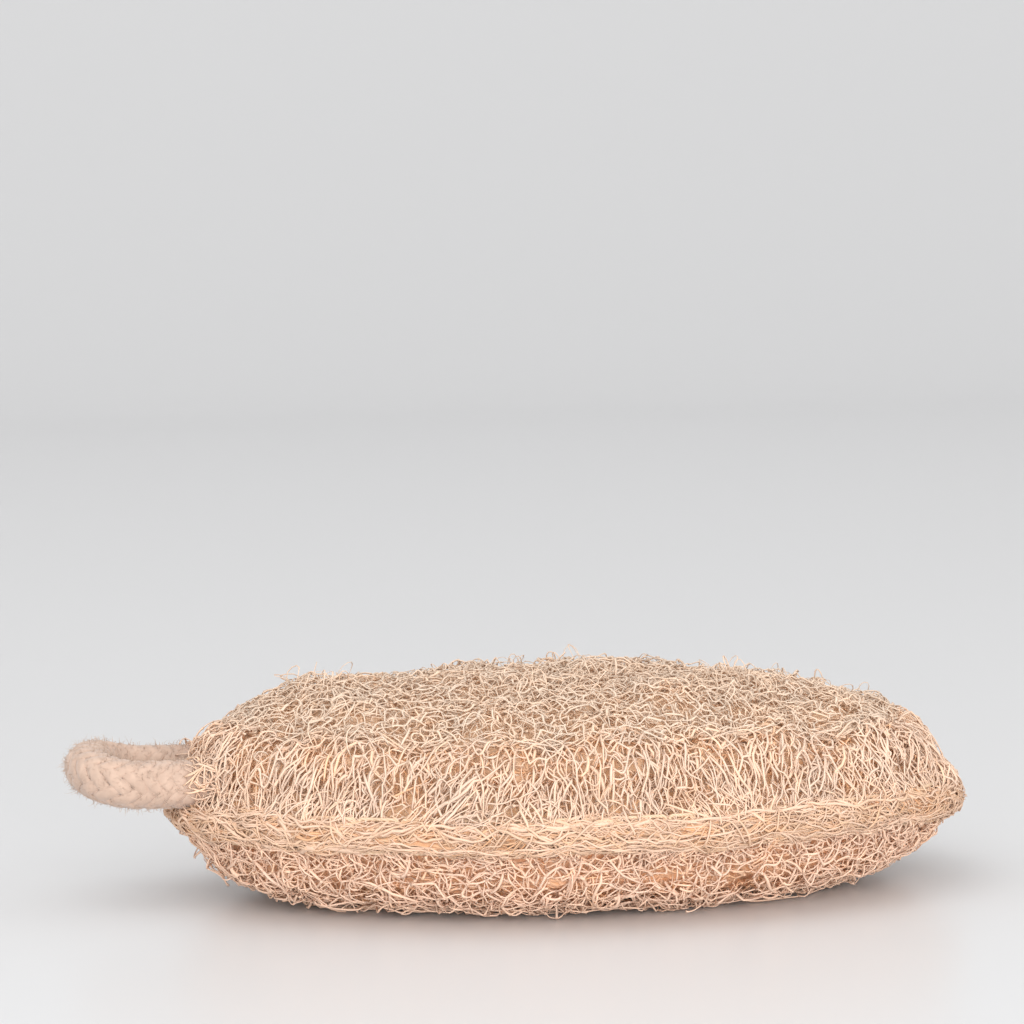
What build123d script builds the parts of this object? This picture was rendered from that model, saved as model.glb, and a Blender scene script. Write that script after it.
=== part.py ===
"""Oval loofah scrubber pad with a braided cotton hanging loop.

Three layers of loofah are sewn together through a rim pressed thin. The two tails of the
loop lie on the middle layer, under the upper one, and are tacked down with thread.
Millimetres, +Z up, the pad's long side along X, the loop at -X. The origin is the middle
of the flat belly that the pad rests on.
"""
from build123d import *
from math import cos, pi, radians, tan
import os

# ---- driving dimensions ----
PAD_LENGTH = 150.0
PAD_WIDTH = 98.0
PAD_HEIGHT = 40.2
END_RADIUS = 38.0            # rounded ends of the oval, seen from above

MIDDLE_BOTTOM = 15.6         # height of the middle layer's underside
MIDDLE_THICKNESS = 3.2
LIP_THICKNESS = 1.0          # upper and lower layers, pressed thin at the rim
LIP_INSET = 1.0              # the two lips stop short of the middle layer's edge
WALL_INSET = 4.2             # where the walls of both layers rise from the lips

CORD_DIAMETER = 9.0
LEG_SPACING = 20.0           # between the loop's two legs, middle to middle
HINGE_X = -79.0              # where the legs flex, just outside the rim
HINGE_GAP = 0.3
BEND_SHARE = 0.45            # of the shorter run beside a corner of the loop, taken by its arc
TAIL_INNER_X = -42.0         # cut ends of the sewn-in tails

THREAD_DIAMETER = 0.7
THREAD_CLEARANCE = 0.1
SEAM_INSET = 2.6
STITCH_PITCH = 8.0
SEAM_OPENING = 18.0          # arc left unsewn on each side of the loop's middle
NEEDLE_HOLE_RADIUS = 1.05
LEG_OFFSET = 0.42            # two threads share one needle hole, side by side
THREAD_BEND = 0.6
TACK_X = (-65.0, -57.0, -49.0)

# ---- worked out from them ----
HALF_LENGTH = PAD_LENGTH / 2
HALF_WIDTH = PAD_WIDTH / 2
MIDDLE_TOP = MIDDLE_BOTTOM + MIDDLE_THICKNESS
MIDDLE_CENTRE = MIDDLE_BOTTOM + MIDDLE_THICKNESS / 2
END_CENTRE = HALF_LENGTH - END_RADIUS
SIDE_RADIUS = (END_CENTRE**2 + HALF_WIDTH**2 - END_RADIUS**2) / (2 * (HALF_WIDTH - END_RADIUS))
CORD_RADIUS = CORD_DIAMETER / 2
CORD_HEIGHT = MIDDLE_TOP + CORD_RADIUS
THREAD_RADIUS = THREAD_DIAMETER / 2
CHANNEL_RADIUS = CORD_RADIUS + THREAD_DIAMETER + 3 * THREAD_CLEARANCE
TAIL_OUTER_X = HINGE_X + CORD_RADIUS + HINGE_GAP
DOME_HEIGHT = PAD_HEIGHT - MIDDLE_TOP
RIM_THICKNESS = MIDDLE_THICKNESS + 2 * LIP_THICKNESS
TACK_HALF_WIDTH = CORD_RADIUS + THREAD_RADIUS + THREAD_CLEARANCE

# Wall profiles: how far in from the rim, and the share of the layer's full height reached.
DOME_PROFILE = (
    (WALL_INSET, 0.0), (4.5, 0.2), (5.3, 0.38), (7.2, 0.54), (10.2, 0.66), (14.4, 0.77), (19.8, 0.86),
    (26.6, 0.94), (35.0, 1.0),
)
BOWL_PROFILE = (
    (WALL_INSET, 0.0), (4.8, 0.24), (6.2, 0.46), (8.8, 0.65), (12.6, 0.8), (18.0, 0.92), (27.0, 1.0),
)

# The loop's centreline outside the pad, from the near leg's hinge round to the far leg's.
LOOP_ROUTE = (
    (HINGE_X, -LEG_SPACING / 2, CORD_HEIGHT),
    (-83.9, -10.3, 23.8),
    (-88.3, -6.8, 24.9),
    (-89.8, -0.2, 25.7),
    (-88.4, 6.4, 25.5),
    (-84.0, 10.2, 24.1),
    (HINGE_X, LEG_SPACING / 2, CORD_HEIGHT),
)


def oval_outline(inset, height):
    """The pad's outline, moved in by inset: four tangent arcs on fixed centres."""
    end_x = HALF_LENGTH - inset
    side_y = HALF_WIDTH - inset
    reach = (SIDE_RADIUS - inset) / (SIDE_RADIUS - END_RADIUS)
    join_x = END_CENTRE * reach
    join_y = HALF_WIDTH - SIDE_RADIUS + (SIDE_RADIUS - HALF_WIDTH) * reach
    right = ThreePointArc((join_x, -join_y, height), (end_x, 0, height), (join_x, join_y, height))
    back = ThreePointArc((join_x, join_y, height), (0, side_y, height), (-join_x, join_y, height))
    left = ThreePointArc((-join_x, join_y, height), (-end_x, 0, height), (-join_x, -join_y, height))
    front = ThreePointArc((-join_x, -join_y, height), (0, -side_y, height), (join_x, -join_y, height))
    return Wire([right, back, left, front])


def oval_face(inset, height):
    return Face(oval_outline(inset, height))


def slab(inset, bottom, thickness):
    return extrude(oval_face(inset, bottom), amount=thickness, dir=(0, 0, 1))


def puffed(profile, base, height):
    """A layer's body: its outline drawn in along the wall profile. Height is below 0 for a bowl."""
    return loft([oval_face(inset, base + share * height) for inset, share in profile], ruled=True)


def cord_channel():
    """Room for one tail and its tacks under the upper layer, open at the rim."""
    start = TAIL_OUTER_X - CORD_DIAMETER
    arch = Plane.YZ * (
        Pos(0, CORD_HEIGHT) * Circle(CHANNEL_RADIUS)
        + Pos(0, (MIDDLE_TOP + CORD_HEIGHT) / 2) * Rectangle(2 * CHANNEL_RADIUS, CORD_HEIGHT - MIDDLE_TOP)
    )
    return Pos(start, 0, 0) * extrude(arch, amount=TAIL_INNER_X - start, dir=(1, 0, 0))


def leg_rows():
    return (-LEG_SPACING / 2, LEG_SPACING / 2)


def seam_point(outline, distance, height):
    """A point on the seam, a distance from the loop's middle, going round by the front."""
    total = outline.length
    end_arc = outline.edges()[0].length
    start = total / 2 + end_arc / 2
    spot = outline.position_at((start + distance) % total, position_mode=PositionMode.LENGTH)
    return (spot.X, spot.Y, height)


def seam_stations(outline):
    sewn = outline.length - 2 * SEAM_OPENING
    count = round(sewn / STITCH_PITCH)
    return [SEAM_OPENING + sewn * index / count for index in range(count + 1)]


def needle_holes(outline, stations):
    bore = Cylinder(NEEDLE_HOLE_RADIUS, 2 * RIM_THICKNESS)
    return [Pos(*seam_point(outline, station, MIDDLE_CENTRE)) * bore for station in stations]


def thread_along(points, bend):
    path = FilletPolyline(*points, radius=bend)
    return sweep(Plane(path @ 0, z_dir=path % 0) * Circle(THREAD_RADIUS), path=path)


def seam_thread(outline, stations, side):
    """Staple-shaped stitches on one face of the rim. Side is 1 for the top, -1 for underneath."""
    run_height = MIDDLE_CENTRE + side * (MIDDLE_THICKNESS / 2 + LIP_THICKNESS + THREAD_RADIUS)
    stitches = []
    for start, end in zip(stations[:-1], stations[1:]):
        first = start + LEG_OFFSET
        last = end - LEG_OFFSET
        points = (
            seam_point(outline, first, MIDDLE_CENTRE),
            seam_point(outline, first, run_height),
            seam_point(outline, last, run_height),
            seam_point(outline, last, MIDDLE_CENTRE),
        )
        stitches.append(thread_along(points, THREAD_BEND))
    return stitches


def tack_ring(station, row):
    """One wrap of thread round a tail and through the middle layer."""
    half_width = TACK_HALF_WIDTH
    top = CORD_HEIGHT + half_width
    bottom = MIDDLE_BOTTOM + THREAD_RADIUS
    left = Line((station, row - half_width, bottom + THREAD_BEND), (station, row - half_width, CORD_HEIGHT))
    over = ThreePointArc(left @ 1, (station, row, top), (station, row + half_width, CORD_HEIGHT))
    right = Line(over @ 1, (station, row + half_width, bottom + THREAD_BEND))
    turn = THREAD_BEND * (1 - cos(pi / 4))
    corner_right = ThreePointArc(
        right @ 1,
        (station, row + half_width - turn, bottom + turn),
        (station, row + half_width - THREAD_BEND, bottom),
    )
    under = Line(corner_right @ 1, (station, row - half_width + THREAD_BEND, bottom))
    corner_left = ThreePointArc(
        under @ 1, (station, row - half_width + turn, bottom + turn), left @ 0
    )
    path = Wire([left, over, right, corner_right, under, corner_left])
    return sweep(Plane(left @ 0, z_dir=(0, 0, 1)) * Circle(THREAD_RADIUS), path=path)


def tack_wraps():
    return [tack_ring(station, row) for row in leg_rows() for station in TACK_X]


def tack_holes(station, row):
    """Two needle holes and the groove between them in the middle layer's underside."""
    hole_radius = THREAD_RADIUS + THREAD_CLEARANCE
    bore = Cylinder(hole_radius, 2 * MIDDLE_THICKNESS)
    holes = [Pos(station, row + side * TACK_HALF_WIDTH, MIDDLE_CENTRE) * bore for side in (-1, 1)]
    groove = Box(2 * hole_radius, 2 * TACK_HALF_WIDTH, 2 * (THREAD_DIAMETER + THREAD_CLEARANCE))
    return holes + [Pos(station, row, MIDDLE_BOTTOM) * groove]


def loop_radii():
    """Each arc as large as its two runs allow."""
    radii = []
    for before, corner, after in zip(LOOP_ROUTE[:-2], LOOP_ROUTE[1:-1], LOOP_ROUTE[2:]):
        arriving = Vector(corner) - Vector(before)
        leaving = Vector(after) - Vector(corner)
        half_turn = radians(arriving.get_angle(leaving)) / 2
        radii.append(BEND_SHARE * min(arriving.length, leaving.length) / tan(half_turn))
    return radii


def hanging_loop_cord():
    """The outside stretch of the cord, with rounded ends that turn in front of the tails."""
    radii = loop_radii()
    path = FilletPolyline(*LOOP_ROUTE, radius=radii)
    tube = sweep(Plane(path @ 0, z_dir=path % 0) * Circle(CORD_RADIUS), path=path)
    print("loop radii", [round(radius, 1) for radius in radii], "length", round(path.length, 1))
    section = pi * CORD_RADIUS**2
    print("tube volume over section times length", round(tube.volume / (section * path.length), 4))
    ends = [Pos(*point) * Sphere(CORD_RADIUS) for point in (LOOP_ROUTE[0], LOOP_ROUTE[-1])]
    return tube + ends


def loop_tail(row):
    length = TAIL_INNER_X - TAIL_OUTER_X
    centre = (TAIL_INNER_X + TAIL_OUTER_X) / 2
    return Pos(centre, row, CORD_HEIGHT) * Rot(0, 90, 0) * Cylinder(CORD_RADIUS, length)


def upper_loofah_layer(holes):
    lip = slab(LIP_INSET, MIDDLE_TOP, LIP_THICKNESS)
    dome = puffed(DOME_PROFILE, MIDDLE_TOP, DOME_HEIGHT)
    channels = [Pos(0, row, 0) * cord_channel() for row in leg_rows()]
    return lip + dome - channels - holes


def middle_loofah_layer(holes):
    tacks = [hole for row in leg_rows() for station in TACK_X for hole in tack_holes(station, row)]
    return slab(0, MIDDLE_BOTTOM, MIDDLE_THICKNESS) - holes - tacks


def lower_loofah_layer(holes):
    lip = slab(LIP_INSET, MIDDLE_BOTTOM - LIP_THICKNESS, LIP_THICKNESS)
    bowl = puffed(BOWL_PROFILE, MIDDLE_BOTTOM, -MIDDLE_BOTTOM)
    return lip + bowl - holes


def main():
    seam = oval_outline(SEAM_INSET, 0)
    stations = seam_stations(seam)
    holes = needle_holes(seam, stations)
    near, far = leg_rows()
    parts = {
        "upper_loofah_layer": upper_loofah_layer(holes),
        "middle_loofah_layer": middle_loofah_layer(holes),
        "lower_loofah_layer": lower_loofah_layer(holes),
        "hanging_loop_cord": hanging_loop_cord(),
        "loop_tail_near": loop_tail(near),
        "loop_tail_far": loop_tail(far),
        "loop_tack_stitches": Compound(tack_wraps()),
        "rim_seam_needle_thread": Compound(seam_thread(seam, stations, 1)),
        "rim_seam_bobbin_thread": Compound(seam_thread(seam, stations, -1)),
    }
    os.makedirs("parts", exist_ok=True)
    for name, shape in parts.items():
        export_step(shape, f"parts/{name}.step")


main()
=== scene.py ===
"""The look of the oval loofah scrubber: nets of plant fibre round the CAD layers, a rim of long
fibres, and a braided cotton loop. Lengths are millimetres until a mesh is made in metres."""
import math

import bpy
import numpy as np
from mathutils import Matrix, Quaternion, Vector
from mathutils.geometry import delaunay_2d_cdt


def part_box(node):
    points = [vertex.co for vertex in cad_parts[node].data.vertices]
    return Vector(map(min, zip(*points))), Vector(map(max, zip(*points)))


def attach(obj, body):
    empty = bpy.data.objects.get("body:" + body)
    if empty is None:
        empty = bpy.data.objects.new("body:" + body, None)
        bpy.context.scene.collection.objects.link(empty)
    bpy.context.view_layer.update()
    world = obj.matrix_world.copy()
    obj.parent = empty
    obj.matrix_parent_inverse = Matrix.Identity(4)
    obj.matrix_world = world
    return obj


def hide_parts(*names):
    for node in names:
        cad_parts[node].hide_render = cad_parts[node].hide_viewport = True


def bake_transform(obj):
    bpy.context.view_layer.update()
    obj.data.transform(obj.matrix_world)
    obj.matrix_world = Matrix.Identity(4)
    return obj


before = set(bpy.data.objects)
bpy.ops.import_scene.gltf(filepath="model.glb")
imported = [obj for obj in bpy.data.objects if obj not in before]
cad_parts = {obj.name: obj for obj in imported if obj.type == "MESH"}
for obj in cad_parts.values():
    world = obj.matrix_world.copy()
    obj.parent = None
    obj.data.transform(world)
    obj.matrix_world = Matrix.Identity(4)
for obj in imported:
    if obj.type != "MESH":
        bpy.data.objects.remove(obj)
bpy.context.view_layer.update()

MM = 0.001


def box_mm(node):
    low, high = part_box(node)
    return np.array(low) / MM, np.array(high) / MM


# ---- sizes read from the frame ----
MIDDLE_LOW, MIDDLE_HIGH = box_mm("middle_loofah_layer")
PAD_TOP = box_mm("upper_loofah_layer")[1][2]
HALF_LENGTH, HALF_WIDTH, MIDDLE_TOP = MIDDLE_HIGH
MIDDLE_BOTTOM = MIDDLE_LOW[2]
RIM_HEIGHT = (MIDDLE_BOTTOM + MIDDLE_TOP) / 2

# ---- shape of the layers, as in the CAD model ----
END_RADIUS = 38.0
END_CENTRE = HALF_LENGTH - END_RADIUS
SIDE_RADIUS = (END_CENTRE**2 + HALF_WIDTH**2 - END_RADIUS**2) / (2 * (HALF_WIDTH - END_RADIUS))
SIDE_CENTRE = SIDE_RADIUS - HALF_WIDTH
JOIN_ANGLE = math.atan2(SIDE_CENTRE, END_CENTRE)
DOME_PROFILE = (
    (4.2, 0.0), (4.5, 0.2), (5.3, 0.38), (7.2, 0.54), (10.2, 0.66), (14.4, 0.77), (19.8, 0.86),
    (26.6, 0.94), (35.0, 1.0), (49.0, 1.0),
)
BOWL_PROFILE = (
    (4.2, 0.0), (4.8, 0.24), (6.2, 0.46), (8.8, 0.65), (12.6, 0.8), (18.0, 0.92), (27.0, 1.0),
    (49.0, 1.0),
)
RIM_INSET = 3.1              # middle of the pressed rim, measured in from its edge
RIM_HALF_DEPTH = 3.1
RIM_HALF_HEIGHT = 3.0
FLOOR_GAP = 0.45             # lowest that a fibre's middle may lie
UPPER_FLANK_PROFILE = ((0.6, 0.0), (1.6, 0.16), (3.2, 0.3), (5.0, 0.5), (6.6, 0.8), (7.6, 1.0))
UPPER_FLANK_FOOT, UPPER_FLANK_RISE = 17.8, 13.0
LOWER_FLANK_PROFILE = ((0.9, 0.0), (2.2, 0.18), (4.0, 0.36), (5.4, 0.6), (6.6, 0.85), (7.6, 1.0))
LOWER_FLANK_FOOT, LOWER_FLANK_RISE = 15.4, -9.8

# ---- wear: how far the soft pad has sunk, where, and over what stretch and height ----
DOME_SLUMP, DOME_SLUMP_X, DOME_SLUMP_SPREAD = 3.0, 54.0, 20.0
DOME_SLUMP_ABOVE, DOME_SLUMP_FADE = 21.0, 16.0
BOWL_SLUMP_AT_LOOP, BOWL_SLUMP_AT_TIP, BOWL_SLUMP_X, BOWL_SLUMP_SPREAD = 1.0, 1.5, 62.0, 15.0
BOWL_SLUMP_BELOW, BOWL_SLUMP_FADE = 13.0, 8.0

# ---- windows: open spots in the nets, with pits in the cores behind them ----
WINDOW_SEED = 31             # of the soft noise that places them, the same for every net and core
UPPER_WINDOW, LOWER_WINDOW = 5.2, 7.5    # size of that noise in each layer
PIT_DEPTH, PIT_LEAD, PIT_FADE = 1.4, 0.5, 0.7

# ---- the cord, as in the CAD model ----
CORD_DIAMETER = 9.0
TAIL_INNER_X = -42.0
CORD_EXIT = (-70.0, -10.0, 23.3)
LOOP_ROUTE = (
    (-79.0, -10.0, 23.3), (-83.9, -10.3, 23.8), (-88.3, -6.8, 24.9), (-89.8, -0.2, 25.7),
    (-88.4, 6.4, 25.5), (-84.0, 10.2, 24.1), (-79.0, 10.0, 23.3),
)


# ---- the oval, as a function of the direction that its edge faces ----
def arc_of(facing):
    """Centre and radius of the outline's arc that faces a direction."""
    on_side = np.abs(np.sin(facing)) > math.sin(JOIN_ANGLE)
    centre_x = np.where(on_side, 0.0, np.sign(np.cos(facing)) * END_CENTRE)
    centre_y = np.where(on_side, -np.sign(np.sin(facing)) * SIDE_CENTRE, 0.0)
    return centre_x, centre_y, np.where(on_side, SIDE_RADIUS, END_RADIUS)


ANGLES = np.linspace(0, 2 * math.pi, 4001)
ARC_STEPS = arc_of((ANGLES[1:] + ANGLES[:-1]) / 2)[2] * np.diff(ANGLES)
ARC_LENGTHS = np.concatenate([[0.0], np.cumsum(ARC_STEPS)])
PERIMETER = ARC_LENGTHS[-1]


def facing_at(distance):
    """The direction that the edge faces, a distance round the outline from its +X end."""
    return np.interp(np.mod(distance, PERIMETER), ARC_LENGTHS, ANGLES)


def facing_and_inset(plan):
    """Direction and inset of plan points: the reverse of going round and in."""
    x, y = plan[..., 0], plan[..., 1]
    at_end = (np.abs(x) - END_CENTRE) * SIDE_CENTRE > np.abs(y) * END_CENTRE
    centre_x = np.where(at_end, np.sign(x) * END_CENTRE, 0.0)
    centre_y = np.where(at_end, 0.0, np.where(y < 0, 1.0, -1.0) * SIDE_CENTRE)
    radius = np.where(at_end, END_RADIUS, SIDE_RADIUS)
    inset = radius - np.hypot(x - centre_x, y - centre_y)
    return np.arctan2(y - centre_y, x - centre_x), inset


def oval_points(facing, inset, height):
    centre_x, centre_y, radius = arc_of(facing)
    reach = radius - inset
    return np.stack([centre_x + reach * np.cos(facing), centre_y + reach * np.sin(facing), height], -1)


def outward(facing, out, up):
    """Unit vectors that lean out from the oval by out and up by up."""
    return np.stack([out * np.cos(facing), out * np.sin(facing), up], -1)


class Wall:
    """A layer's outer surface. The run is the distance along it, up or down from the rim."""

    def __init__(self, profile, base, height):
        inset = np.array([point[0] for point in profile])
        rise = base + height * np.array([point[1] for point in profile])
        run = np.concatenate([[0.0], np.cumsum(np.hypot(np.diff(inset), np.diff(rise)))])
        self.run = np.linspace(0, run[-1], 900)
        self.inset = self.soften(np.interp(self.run, run, inset))
        self.rise = self.soften(np.interp(self.run, run, rise))
        self.sign = math.copysign(1.0, height)

    def soften(self, values, half=16):
        padded = np.concatenate([np.full(half, values[0]), values, np.full(half, values[-1])])
        return np.convolve(padded, np.full(2 * half + 1, 1 / (2 * half + 1)), mode="valid")

    def at(self, run):
        return np.interp(run, self.run, self.inset), np.interp(run, self.run, self.rise)

    def round_and_up(self, plan):
        """Points and normals at (distance round, run)."""
        return self.place(facing_at(plan[..., 0]), plan[..., 1])

    def from_above(self, plan):
        """Points and normals at (x, y)."""
        facing, inset = facing_and_inset(plan)
        return self.place(facing, np.interp(inset, self.inset, self.run))

    def place(self, facing, run):
        inset, rise = self.at(run)
        inset_after, rise_after = self.at(run + 1.0)
        inset_before, rise_before = self.at(run - 1.0)
        inward, upward = inset_after - inset_before, rise_after - rise_before
        size = np.maximum(np.hypot(inward, upward), 1e-6)
        normal = outward(facing, np.abs(upward) / size, self.sign * inward / size)
        return oval_points(facing, inset, rise), normal


DOME = Wall(DOME_PROFILE, MIDDLE_TOP, PAD_TOP - MIDDLE_TOP)
BOWL = Wall(BOWL_PROFILE, MIDDLE_BOTTOM, -MIDDLE_BOTTOM)
# The soft slope of fibres from the rim's edge up onto the dome's wall, and down onto the bowl's.
UPPER_FLANK = Wall(UPPER_FLANK_PROFILE, UPPER_FLANK_FOOT, UPPER_FLANK_RISE)
LOWER_FLANK = Wall(LOWER_FLANK_PROFILE, LOWER_FLANK_FOOT, LOWER_FLANK_RISE)


def rim_surface(plan):
    """Points and normals of the pressed rim at (distance round, angle round its section)."""
    facing, turn = facing_at(plan[..., 0]), plan[..., 1]
    inset = RIM_INSET - RIM_HALF_DEPTH * np.cos(turn)
    points = oval_points(facing, inset, np.full(inset.shape, RIM_HEIGHT))
    rise = RIM_HALF_HEIGHT * np.sin(turn)
    points[..., 2] += rise + 0.45 * waves(points, 50, 41) + 0.3 * waves(points, 19, 42)
    return points, outward(facing, np.cos(turn), np.sin(turn))


# ---- fibres ----
def waves(points, scale, seed, count=7):
    """Smooth noise of about unit size over space, with bumps about half a scale across."""
    dice = np.random.default_rng(seed)
    ways = dice.normal(size=(count, 3))
    ways /= np.linalg.norm(ways, axis=1, keepdims=True)
    ways *= 2 * math.pi / (scale * dice.uniform(0.7, 1.6, (count, 1)))
    return np.sin(points @ ways.T + dice.uniform(0, 2 * math.pi, count)).sum(-1) * math.sqrt(2 / count)


def unit(vectors):
    return vectors / np.maximum(np.linalg.norm(vectors, axis=-1, keepdims=True), 1e-9)


def smooth(share):
    return share * share * (3 - 2 * share)


def slump(points):
    """How far the pad has sunk from wear: the dome away from the loop, and the bowl at both ends."""
    x, height = points[..., 0], points[..., 2]
    dome = DOME_SLUMP * np.exp(-(((x - DOME_SLUMP_X) / DOME_SLUMP_SPREAD) ** 2))
    dome = dome * np.clip((height - DOME_SLUMP_ABOVE) / DOME_SLUMP_FADE, 0, 1)
    bowl = np.where(x < 0, BOWL_SLUMP_AT_LOOP, BOWL_SLUMP_AT_TIP)
    bowl = bowl * np.exp(-(((np.abs(x) - BOWL_SLUMP_X) / BOWL_SLUMP_SPREAD) ** 2))
    return dome + bowl * np.clip((BOWL_SLUMP_BELOW - height) / BOWL_SLUMP_FADE, 0, 1)


def lump(points):
    """Soft unevenness of a layer's surface, in millimetres along its normal."""
    return 0.5 * waves(points, 19, 1) + 0.25 * waves(points, 7, 2)


def outside_windows(points, window):
    """Whether points lie outside the windows of a net. A window is (size, threshold) of soft noise."""
    if window is None:
        return np.ones(len(points), dtype=bool)
    size, threshold = window
    return waves(points, size, WINDOW_SEED) < threshold


class Strands:
    """Gathers curved fibres into one mesh, with a tone from dark to light on every point."""

    def __init__(self, seed):
        self.dice = np.random.default_rng(seed)
        self.points, self.tones, self.loops, self.sizes, self.count = [], [], [], [], 0

    def add(self, line, radius, tone, normal, sides=4, flat=0.75):
        """line is (fibres, stations, 3). radius and tone spread over (fibres, stations)."""
        fibres, stations = line.shape[:2]
        along = unit(np.gradient(line, axis=1))
        side = unit(np.cross(along, normal))
        up = np.cross(side, along)
        turn = 2 * math.pi * np.arange(sides) / sides
        ring = np.cos(turn)[:, None] * side[:, :, None] + flat * np.sin(turn)[:, None] * up[:, :, None]
        radius = np.broadcast_to(radius, (fibres, stations))
        points = line[:, :, None] + radius[:, :, None, None] * ring
        self.points.append(points.reshape(-1, 3))
        self.tones.append(np.repeat(np.broadcast_to(tone, (fibres, stations)).ravel(), sides))
        at = self.count + np.arange(fibres * stations * sides).reshape(fibres, stations, sides)
        after = np.roll(at, -1, axis=2)
        quads = np.stack([at[:, :-1], at[:, 1:], after[:, 1:], after[:, :-1]], -1).reshape(-1, 4)
        caps = np.concatenate([at[:, 0], at[:, -1, ::-1]])
        self.loops += [quads.ravel(), caps.ravel()]
        self.sizes += [np.full(len(quads), 4), np.full(len(caps), sides)]
        self.count += fibres * stations * sides

    def drape(self, surface, plan, lift, radius, tone, lumps=1.0, window=None, **shape):
        """Adds fibres that run over a surface, lifted off it by lift and by soft lumps.

        A fibre whose middle lies in a window of the net is left out."""
        base, normal = surface(plan)
        line = base + normal * (lift + lumps * lump(base) - slump(base))[..., None]
        line[..., 2] = np.maximum(line[..., 2], FLOOR_GAP)
        kept = outside_windows(base[:, base.shape[1] // 2], window)
        radius = np.broadcast_to(radius, line.shape[:2])[kept]
        self.add(line[kept], radius, (tone + 0.07 * waves(base, 11, 3))[kept], normal[kept], **shape)

    def object(self, name, material, body="pad"):
        mesh = bpy.data.meshes.new(name)
        loops, sizes = np.concatenate(self.loops), np.concatenate(self.sizes)
        mesh.vertices.add(self.count)
        mesh.vertices.foreach_set("co", (np.concatenate(self.points) * MM).ravel())
        mesh.loops.add(len(loops))
        mesh.loops.foreach_set("vertex_index", loops)
        mesh.polygons.add(len(sizes))
        mesh.polygons.foreach_set("loop_start", np.concatenate([[0], np.cumsum(sizes)[:-1]]))
        mesh.polygons.foreach_set("use_smooth", np.ones(len(sizes), dtype=bool))
        mesh.update(calc_edges=True)
        mesh.attributes.new("tone", "FLOAT", "POINT").data.foreach_set("value", np.concatenate(self.tones))
        mesh.materials.append(material)
        thing = bpy.data.objects.new(name, mesh)
        bpy.context.scene.collection.objects.link(thing)
        if body:
            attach(thing, body)
        return thing


class Net:
    """Edges of a net: one node between every three neighbouring cells, scattered over a plan."""

    LONGEST_EDGE = 1.7           # in cells; longer edges are left out

    def __init__(self, low, high, pitch, keep, dice, kept_cells=None):
        pitch = np.array(pitch)
        cells = self.scatter(np.array(low) / pitch, np.array(high) / pitch, dice)
        if kept_cells is not None:
            cells = cells[kept_cells(cells * pitch)]
        found = delaunay_2d_cdt([Vector(cell) for cell in cells], [], [], 0, 1e-6, False)
        corners, faces = found[0], found[2]
        corners, faces = np.array([tuple(corner) for corner in corners]), np.array(faces)
        middles = corners[faces].mean(axis=1)
        sides = np.sort(np.concatenate([faces[:, [0, 1]], faces[:, [1, 2]], faces[:, [2, 0]]]), axis=1)
        key = sides[:, 0] * len(corners) + sides[:, 1]
        order = np.argsort(key, kind="stable")
        twins = key[order][1:] == key[order][:-1]
        owner = np.tile(np.arange(len(faces)), 3)[order]
        ends = np.stack([owner[:-1][twins], owner[1:][twins]], -1)
        reach = np.linalg.norm(middles[ends[:, 0]] - middles[ends[:, 1]], axis=1)
        self.ends = ends[(reach < self.LONGEST_EDGE) & (dice.random(len(ends)) < keep)]
        self.nodes = middles * pitch
        self.leaving = self.smooth_junctions()

    def scatter(self, low, high, dice):
        across, up = np.meshgrid(np.arange(low[0], high[0]), np.arange(low[1], high[1]))
        across = across + 0.5 * (np.arange(len(up)) % 2)[:, None]
        cells = np.stack([across.ravel(), up.ravel()], -1)
        return cells + dice.uniform(-0.5, 0.5, cells.shape)

    def smooth_junctions(self):
        """How each edge leaves its two nodes. The straightest two edges at a node run through it."""
        home, away = self.ends.T.ravel(), self.ends[:, ::-1].T.ravel()
        way = unit(self.nodes[away] - self.nodes[home])
        order = np.argsort(home, kind="stable")
        slot = np.arange(len(order)) - np.searchsorted(home[order], home[order])
        table = np.full((len(self.nodes), 3), -1)
        table[home[order], slot] = order
        pairs = ((0, 1), (1, 2), (2, 0))
        bends = [
            np.where(
                (table[:, a] >= 0) & (table[:, b] >= 0), (way[table[:, a]] * way[table[:, b]]).sum(-1), 2
            )
            for a, b in pairs
        ]
        leaving = way.copy()
        for index, (a, b) in enumerate(pairs):
            through = (np.argmin(bends, axis=0) == index) & (bends[index] < 1)
            first, second = table[through, a], table[through, b]
            straight = unit(way[first] - way[second])
            leaving[first], leaving[second] = straight, -straight
        return leaving.reshape(2, -1, 2)

    def lines(self, stations, dice):
        """Plan points along every edge, (edges, stations, 2)."""
        share = np.linspace(0, 1, stations)[:, None]
        start, end = self.nodes[self.ends[:, 0]][:, None], self.nodes[self.ends[:, 1]][:, None]
        span = np.linalg.norm(end - start, axis=-1, keepdims=True)
        pull = span * dice.uniform(0.5, 1.0, (len(start), 1, 1))
        leave, arrive = self.leaving[0][:, None] * pull, -self.leaving[1][:, None] * pull
        mixed = start + (end - start) * smooth(share)
        return mixed + leave * share * (1 - share) ** 2 - arrive * share**2 * (1 - share)


def weave(strands, surface, net, lift, radius, tone, stations=5, spread=0.4, **shape):
    """Lays a net over a surface: nodes at scattered lifts, edges thicker where they join."""
    dice = strands.dice
    share = np.linspace(0, 1, stations)
    node_lift = lift + dice.normal(0, spread, len(net.nodes))
    first, last = node_lift[net.ends[:, 0]][:, None], node_lift[net.ends[:, 1]][:, None]
    edges = (len(net.ends), 1)
    lifts = first + (last - first) * smooth(share) + dice.normal(0, 0.25, edges) * np.sin(math.pi * share)
    radii = radius * dice.lognormal(0, 0.28, edges) * (0.85 + 0.5 * (2 * share - 1) ** 4)
    tones = tone + dice.normal(0, 0.12, edges)
    strands.drape(surface, net.lines(stations, dice), lifts, radii, tones, **shape)


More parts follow.
